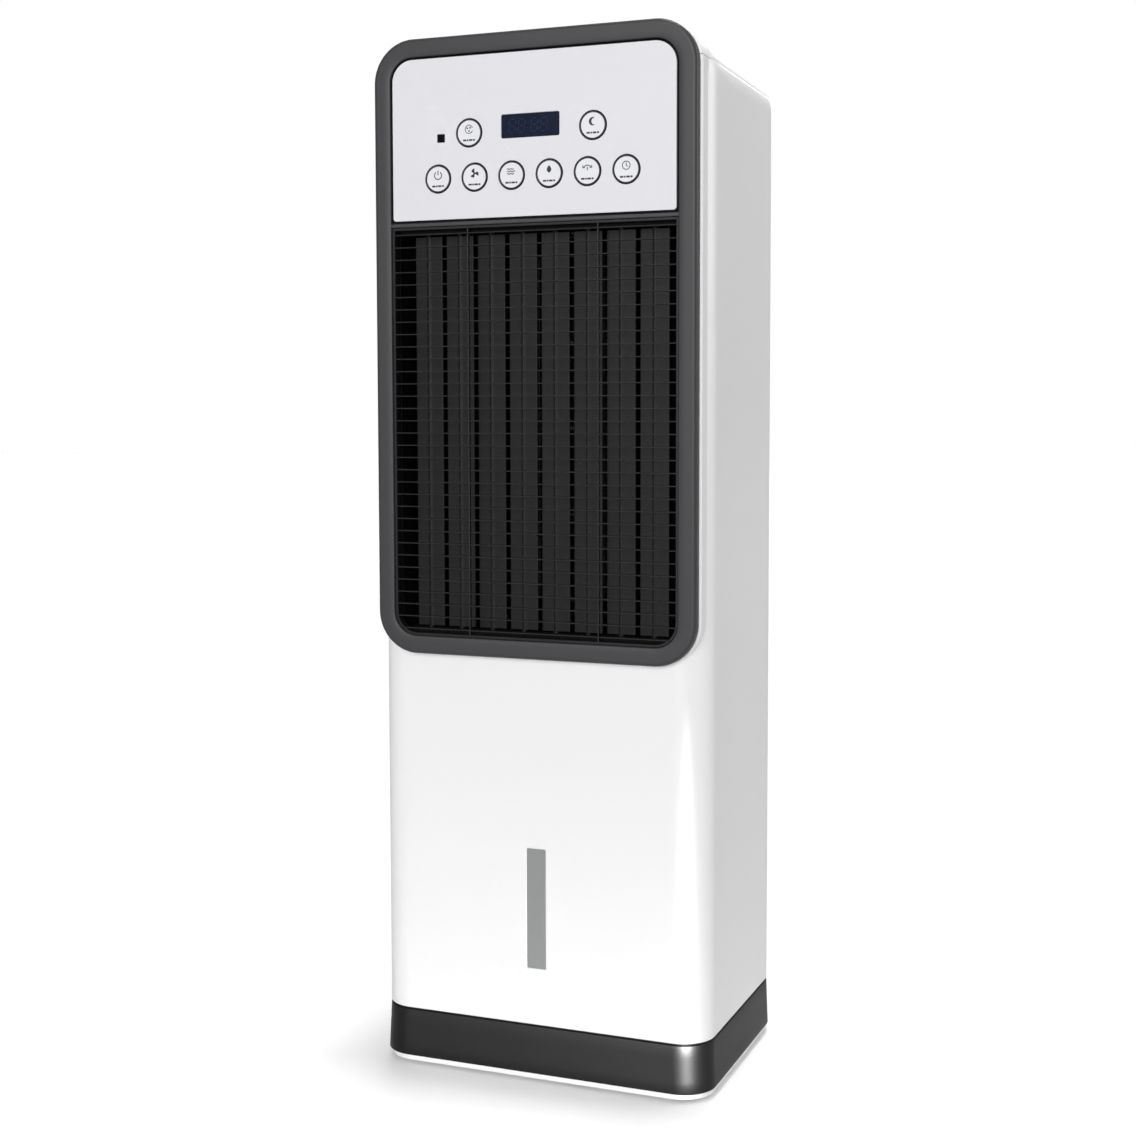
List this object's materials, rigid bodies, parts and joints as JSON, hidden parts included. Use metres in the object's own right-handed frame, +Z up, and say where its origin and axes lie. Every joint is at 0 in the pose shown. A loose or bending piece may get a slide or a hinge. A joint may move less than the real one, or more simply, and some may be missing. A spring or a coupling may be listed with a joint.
{
  "type": "evaporative cooler",
  "caption": "Slim tower evaporative cooler: white shell, dark front ring with control panel and swinging louvres, slide-out rear tank, cross-flow fan.",
  "frame": {"origin": "on the floor under the middle of the outside box", "axes": "+Z up, -Y towards the front with the louvres, +X to the right as seen from the front"},
  "size_m": [0.295, 0.218, 0.863],
  "materials": {
    "white_shell": "satin white ABS moulding",
    "ring_grey": "fine satin dark grey",
    "panel_grey": "satin light grey with a cool tint",
    "button_grey": "satin light grey key caps",
    "black_plastic": "moulded black",
    "display_navy": "smoked navy window",
    "ir_black": "infra-red black",
    "circuit_board": "green solder mask",
    "grille_black": "satin black guard",
    "louvre_grey": "satin charcoal",
    "natural_plastic": "unpainted natural moulding",
    "plated_steel": "zinc plated pressing",
    "ground_steel": "ground",
    "sintered_bronze": "oil-filled sintered bush",
    "rotor_black": "moulded black",
    "pad_paper": "fluted kraft cellulose pad",
    "pipe_grey": "soft PVC water pipe",
    "filter_mesh": "woven nylon dust mesh",
    "tank_clear": "clear polystyrene",
    "window_grey": "smoked grey window",
    "band_gloss": "polished black",
    "foot_rubber": "moulded rubber",
    "screw_zinc": "zinc plated"
  },
  "bodies": {
    "cabinet": {"main_shell": "white_shell", "top_cover": "white_shell", "rear_cover": "white_shell", "base_plate": "white_shell", "front_bezel": "ring_grey", "control_panel": "panel_grey", "panel_housing": "black_plastic", "display_lens": "display_navy", "display_module": "black_plastic", "ir_window": "ir_black", "control_board": "circuit_board", "tact_switches": "black_plastic", "power_board": "circuit_board", "outlet_grille": "grille_black", "outlet_duct": "black_plastic", "swing_motor": "plated_steel", "fan_scroll": "black_plastic", "fan_bush": "sintered_bronze", "motor_plate": "black_plastic", "fan_motor": "plated_steel", "pad_frame": "natural_plastic", "cooling_pad": "pad_paper", "water_tray": "natural_plastic", "riser_pipe": "pipe_grey", "mid_deck": "natural_plastic", "level_window": "window_grey", "base_band": "band_gloss", "feet": "foot_rubber", "cord_gland": "black_plastic", "case_screws": "screw_zinc"},
    "button_power_key": {"button_power": "button_grey"},
    "button_speed_key": {"button_speed": "button_grey"},
    "button_wind_key": {"button_wind": "button_grey"},
    "button_cooling_key": {"button_cooling": "button_grey"},
    "button_swing_key": {"button_swing": "button_grey"},
    "button_timer_key": {"button_timer": "button_grey"},
    "button_ioniser_key": {"button_ioniser": "button_grey"},
    "button_sleep_key": {"button_sleep": "button_grey"},
    "louvre_1_blade": {"louvre_1": "louvre_grey"},
    "louvre_2_blade": {"louvre_2": "louvre_grey"},
    "louvre_3_blade": {"louvre_3": "louvre_grey"},
    "louvre_4_blade": {"louvre_4": "louvre_grey"},
    "louvre_5_blade": {"louvre_5": "louvre_grey"},
    "louvre_6_blade": {"louvre_6": "louvre_grey"},
    "louvre_7_blade": {"louvre_7": "louvre_grey"},
    "louvre_8_blade": {"louvre_8": "louvre_grey"},
    "linkage": {"link_bar": "black_plastic"},
    "swing_drive": {"swing_crank": "natural_plastic"},
    "fan": {"fan_rotor": "rotor_black", "fan_shaft": "ground_steel"},
    "inlet_panel": {"rear_grille": "white_shell", "dust_filter": "filter_mesh"},
    "tank": {"water_tank": "tank_clear", "tank_fascia": "white_shell", "pump_body": "black_plastic"},
    "latch": {"tank_latch": "ring_grey"},
    "plug": {"drain_plug": "ring_grey"},
    "impeller": {"pump_impeller": "natural_plastic"}
  },
  "joints": [
    {"name": "button_power_press", "type": "slide", "parent": "cabinet", "child": "button_power_key", "axis": [0, 1, 0], "range_m": [0, 0.0007], "stiffness_N_per_m": 900},
    {"name": "button_speed_press", "type": "slide", "parent": "cabinet", "child": "button_speed_key", "axis": [0, 1, 0], "range_m": [0, 0.0007], "stiffness_N_per_m": 900},
    {"name": "button_wind_press", "type": "slide", "parent": "cabinet", "child": "button_wind_key", "axis": [0, 1, 0], "range_m": [0, 0.0007], "stiffness_N_per_m": 900},
    {"name": "button_cooling_press", "type": "slide", "parent": "cabinet", "child": "button_cooling_key", "axis": [0, 1, 0], "range_m": [0, 0.0007], "stiffness_N_per_m": 900},
    {"name": "button_swing_press", "type": "slide", "parent": "cabinet", "child": "button_swing_key", "axis": [0, 1, 0], "range_m": [0, 0.0007], "stiffness_N_per_m": 900},
    {"name": "button_timer_press", "type": "slide", "parent": "cabinet", "child": "button_timer_key", "axis": [0, 1, 0], "range_m": [0, 0.0007], "stiffness_N_per_m": 900},
    {"name": "button_ioniser_press", "type": "slide", "parent": "cabinet", "child": "button_ioniser_key", "axis": [0, 1, 0], "range_m": [0, 0.0007], "stiffness_N_per_m": 900},
    {"name": "button_sleep_press", "type": "slide", "parent": "cabinet", "child": "button_sleep_key", "axis": [0, 1, 0], "range_m": [0, 0.0007], "stiffness_N_per_m": 900},
    {"name": "louvre_swing", "type": "hinge", "parent": "cabinet", "child": "louvre_1_blade", "pos_m": [-0.0994, -0.0895, 0.5395], "axis": [0, 0, 1], "range_deg": [0, 130]},
    {"name": "louvre_2_swing", "type": "hinge", "parent": "cabinet", "child": "louvre_2_blade", "pos_m": [-0.071, -0.0895, 0.5395], "axis": [0, 0, 1], "range_deg": [0, 130]},
    {"name": "louvre_3_swing", "type": "hinge", "parent": "cabinet", "child": "louvre_3_blade", "pos_m": [-0.0426, -0.0895, 0.5395], "axis": [0, 0, 1], "range_deg": [0, 130]},
    {"name": "louvre_4_swing", "type": "hinge", "parent": "cabinet", "child": "louvre_4_blade", "pos_m": [-0.0142, -0.0895, 0.5395], "axis": [0, 0, 1], "range_deg": [0, 130]},
    {"name": "louvre_5_swing", "type": "hinge", "parent": "cabinet", "child": "louvre_5_blade", "pos_m": [0.0142, -0.0895, 0.5395], "axis": [0, 0, 1], "range_deg": [0, 130]},
    {"name": "louvre_6_swing", "type": "hinge", "parent": "cabinet", "child": "louvre_6_blade", "pos_m": [0.0426, -0.0895, 0.5395], "axis": [0, 0, 1], "range_deg": [0, 130]},
    {"name": "louvre_7_swing", "type": "hinge", "parent": "cabinet", "child": "louvre_7_blade", "pos_m": [0.071, -0.0895, 0.5395], "axis": [0, 0, 1], "range_deg": [0, 130]},
    {"name": "louvre_8_swing", "type": "hinge", "parent": "cabinet", "child": "louvre_8_blade", "pos_m": [0.0994, -0.0895, 0.5395], "axis": [0, 0, 1], "range_deg": [0, 130]},
    {"name": "link_bar_turn", "type": "hinge", "parent": "louvre_1_blade", "child": "linkage", "pos_m": [-0.0994, -0.0825, 0.3665], "axis": [0, 0, 1], "range_deg": [-130, 0]},
    {"name": "swing_crank_turn", "type": "hinge", "parent": "cabinet", "child": "swing_drive", "pos_m": [0, -0.0895, 0.362], "axis": [0, 0, 1], "range_deg": [0, 130]},
    {"name": "fan_spin", "type": "hinge", "parent": "cabinet", "child": "fan", "pos_m": [0, 0.007, 0.545], "axis": [0, 0, 1], "continuous": true},
    {"name": "inlet_panel_pull", "type": "slide", "parent": "cabinet", "child": "inlet_panel", "axis": [0, 1, 0], "range_m": [0, 0.05]},
    {"name": "tank_slide", "type": "slide", "parent": "cabinet", "child": "tank", "axis": [0, 1, 0], "range_m": [0, 0.17]},
    {"name": "latch_turn", "type": "hinge", "parent": "tank", "child": "latch", "pos_m": [0, 0.103, 0.2115], "axis": [0, -1, 0], "range_deg": [0, 90]},
    {"name": "drain_plug_pull", "type": "slide", "parent": "tank", "child": "plug", "axis": [0, 1, 0], "range_m": [0, 0.016]},
    {"name": "impeller_spin", "type": "hinge", "parent": "tank", "child": "impeller", "pos_m": [-0.08, 0.06, 0.0786], "axis": [0, 1, 0], "continuous": true}
  ],
  "couplings": [
    {"joint": "louvre_2_swing", "follows": "louvre_swing", "ratio": 1},
    {"joint": "louvre_3_swing", "follows": "louvre_swing", "ratio": 1},
    {"joint": "louvre_4_swing", "follows": "louvre_swing", "ratio": 1},
    {"joint": "louvre_5_swing", "follows": "louvre_swing", "ratio": 1},
    {"joint": "louvre_6_swing", "follows": "louvre_swing", "ratio": 1},
    {"joint": "louvre_7_swing", "follows": "louvre_swing", "ratio": 1},
    {"joint": "louvre_8_swing", "follows": "louvre_swing", "ratio": 1},
    {"joint": "link_bar_turn", "follows": "louvre_swing", "ratio": -1},
    {"joint": "swing_crank_turn", "follows": "louvre_swing", "ratio": 1}
  ]
}
